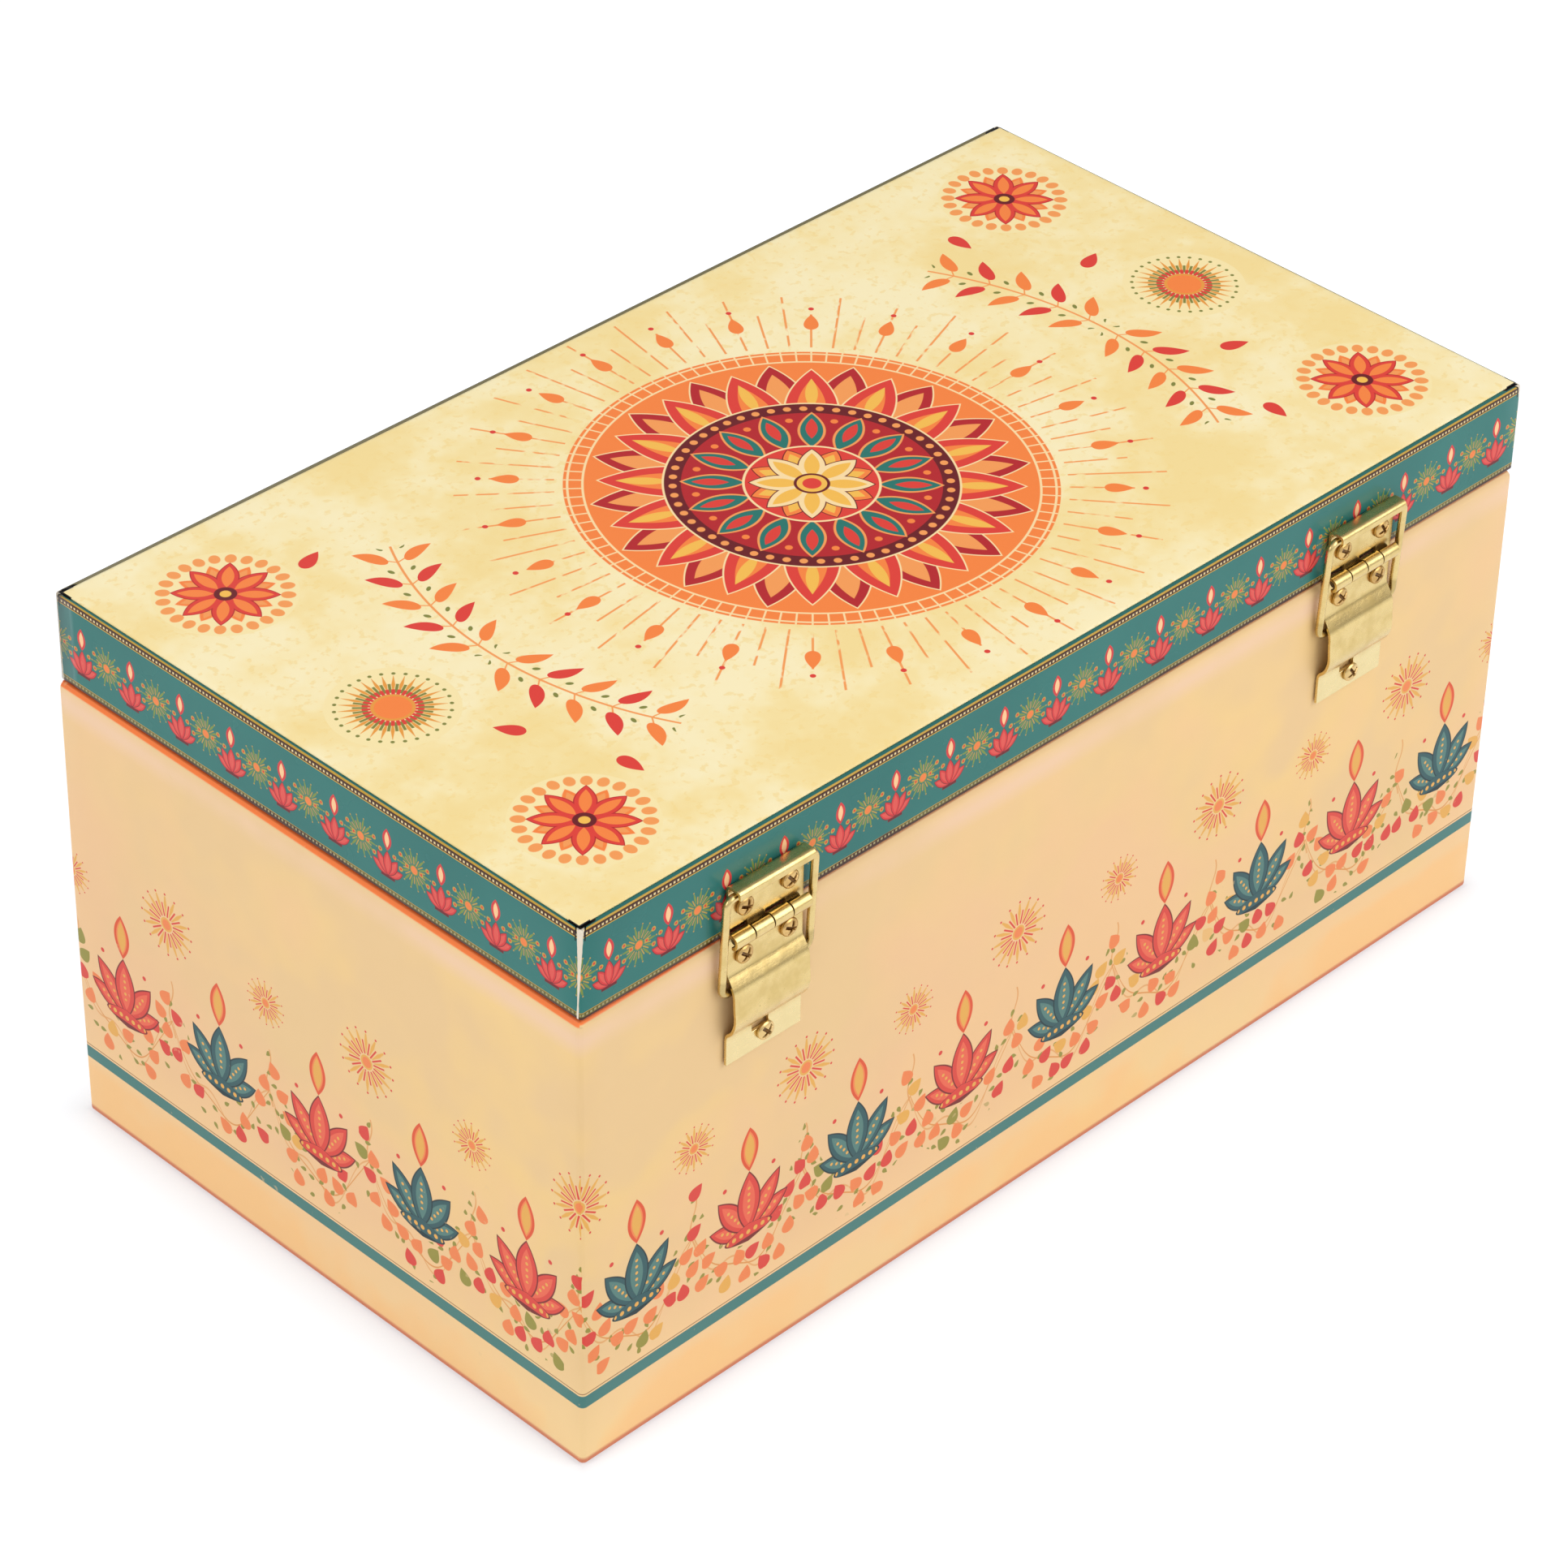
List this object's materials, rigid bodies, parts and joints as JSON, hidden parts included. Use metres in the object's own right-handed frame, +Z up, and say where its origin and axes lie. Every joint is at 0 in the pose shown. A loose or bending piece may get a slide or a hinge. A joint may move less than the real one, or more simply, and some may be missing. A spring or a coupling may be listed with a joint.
{
  "type": "jar gift box",
  "caption": "Rectangular paper-covered board gift box for jars, with a card partition inside and a shallow lid on spring-stay hinges at the back.",
  "frame": {"origin": "centre of the case's underside, on the surface the box stands on", "axes": "+Z up; +X along the box, to the right as seen from the front; the front faces -Y and the hinges are on the back, at +Y"},
  "size_m": [0.306, 0.1771, 0.1494],
  "materials": {
    "board": "raw fibreboard",
    "body_paper": "printed, satin varnish",
    "base_paper": "plain, uncoated",
    "lining": "plain, uncoated",
    "partition": "plain card",
    "band_paper": "printed, glossy varnish",
    "top_paper": "printed, satin varnish",
    "hinge_metal": "pale brass plating, semi-bright",
    "pin_metal": "drawn wire"
  },
  "bodies": {
    "case": {"base_board": "board", "case_front_wall": "board", "case_back_wall": "board", "case_left_wall": "board", "case_right_wall": "board", "case_wrap": "body_paper", "base_sheet": "base_paper", "floor_lining": "lining", "partition_long": "partition", "partition_cross_1": "partition", "partition_cross_2": "partition", "partition_cross_3": "partition", "case_leaf_right": "hinge_metal", "case_leaf_left": "hinge_metal", "hinge_pin_right": "pin_metal", "hinge_pin_left": "pin_metal", "case_screw_right_outer": "hinge_metal", "case_screw_right_inner": "hinge_metal", "case_screw_right_tab": "hinge_metal", "case_screw_left_outer": "hinge_metal", "case_screw_left_inner": "hinge_metal", "case_screw_left_tab": "hinge_metal"},
    "lid": {"lid_board": "board", "lid_front_wall": "board", "lid_back_wall": "board", "lid_left_wall": "board", "lid_right_wall": "board", "lid_band": "band_paper", "lid_top_sheet": "top_paper", "lid_lining": "lining", "lid_leaf_right": "hinge_metal", "lid_leaf_left": "hinge_metal", "lid_screw_right_outer": "hinge_metal", "lid_screw_right_inner": "hinge_metal", "lid_screw_left_outer": "hinge_metal", "lid_screw_left_inner": "hinge_metal"},
    "bail_right": {"bail_right": "hinge_metal"},
    "bail_left": {"bail_left": "hinge_metal"}
  },
  "joints": [
    {"name": "lid_hinge", "type": "hinge", "parent": "case", "child": "lid", "pos_m": [0, 0.08795, 0.12505], "axis": [-1, 0, 0], "range_deg": [0, 90]},
    {"name": "bail_right_pivot", "type": "hinge", "parent": "lid", "child": "bail_right", "pos_m": [0.0998, 0.0883, 0.13725], "axis": [-1, 0, 0], "range_deg": [-62.8, 0]},
    {"name": "bail_left_pivot", "type": "hinge", "parent": "lid", "child": "bail_left", "pos_m": [-0.0945, 0.0883, 0.13725], "axis": [-1, 0, 0], "range_deg": [-62.8, 0]}
  ],
  "couplings": [
    {"joint": "bail_right_pivot", "follows": "lid_hinge", "ratio": -0.6973},
    {"joint": "bail_left_pivot", "follows": "lid_hinge", "ratio": -0.6973}
  ]
}
